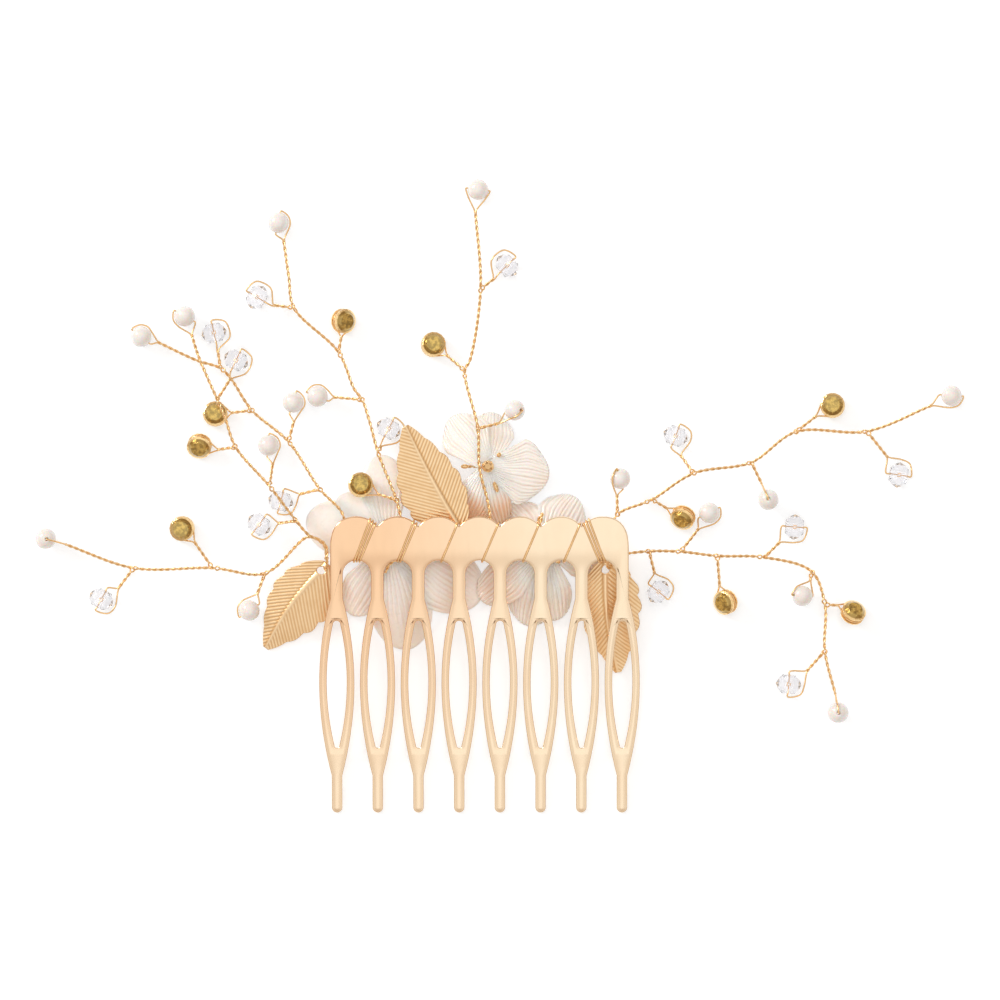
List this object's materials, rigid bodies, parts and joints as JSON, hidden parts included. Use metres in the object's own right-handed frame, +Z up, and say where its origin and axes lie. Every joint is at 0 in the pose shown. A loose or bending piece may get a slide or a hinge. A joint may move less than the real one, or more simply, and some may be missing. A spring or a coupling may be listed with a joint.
{
  "type": "floral hair comb",
  "caption": "Stamped gold hair comb trimmed with wired mother-of-pearl petals, gold leaves and branching wire sprays of pearls, clear crystals and gold stones, lying face down.",
  "frame": {"origin": "the middle of the object's bounding box, on the table that it lies on", "axes": "+X along the comb's band, to the right as seen from its back; +Y from the tooth tips towards the band; +Z up from the table, out of the comb's back"},
  "size_m": [0.1768, 0.1206, 0.0091],
  "materials": {
    "comb_gold": "polished pale gold plate",
    "wire_gold": "bright twisted gold wire",
    "leaf_gold": "stamped leaf, polished ribs",
    "petal_nacre": "fluted pearly white shell, thin and slightly translucent",
    "pearl_coat": "pearl lustre",
    "clear_crystal": "clear faceted crystal",
    "gold_stone": "faceted stone, foiled olive gold"
  },
  "bodies": {
    "root": {"comb": "comb_gold", "crystal_01": "clear_crystal", "crystal_02": "clear_crystal", "crystal_03": "clear_crystal", "crystal_04": "clear_crystal", "crystal_05": "clear_crystal", "crystal_06": "clear_crystal", "crystal_07": "clear_crystal", "crystal_08": "clear_crystal", "crystal_09": "clear_crystal", "crystal_10": "clear_crystal", "crystal_11": "clear_crystal", "crystal_12": "clear_crystal", "crystal_13": "clear_crystal", "flower_centre_1": "wire_gold", "flower_centre_2": "wire_gold", "flower_centre_3": "wire_gold", "flower_petals_1": "petal_nacre", "flower_petals_2": "petal_nacre", "flower_petals_3": "petal_nacre", "lashing_wire": "wire_gold", "leaf_1": "leaf_gold", "leaf_2": "leaf_gold", "leaf_3": "leaf_gold", "pearl_01": "pearl_coat", "pearl_02": "pearl_coat", "pearl_03": "pearl_coat", "pearl_04": "pearl_coat", "pearl_05": "pearl_coat", "pearl_06": "pearl_coat", "pearl_07": "pearl_coat", "pearl_08": "pearl_coat", "pearl_09": "pearl_coat", "pearl_10": "pearl_coat", "pearl_11": "pearl_coat", "pearl_12": "pearl_coat", "pearl_13": "pearl_coat", "pearl_14": "pearl_coat", "pearl_15": "pearl_coat", "pearl_16": "pearl_coat", "spray_wire_left_high": "wire_gold", "spray_wire_left_low": "wire_gold", "spray_wire_left_middle": "wire_gold", "spray_wire_right": "wire_gold", "spray_wire_right_low": "wire_gold", "spray_wire_top": "wire_gold", "spray_wire_upper_left": "wire_gold", "stone_01": "gold_stone", "stone_02": "gold_stone", "stone_03": "gold_stone", "stone_04": "gold_stone", "stone_05": "gold_stone", "stone_06": "gold_stone", "stone_07": "gold_stone", "stone_08": "gold_stone", "stone_09": "gold_stone", "stone_10": "gold_stone"}
  },
  "joints": []
}
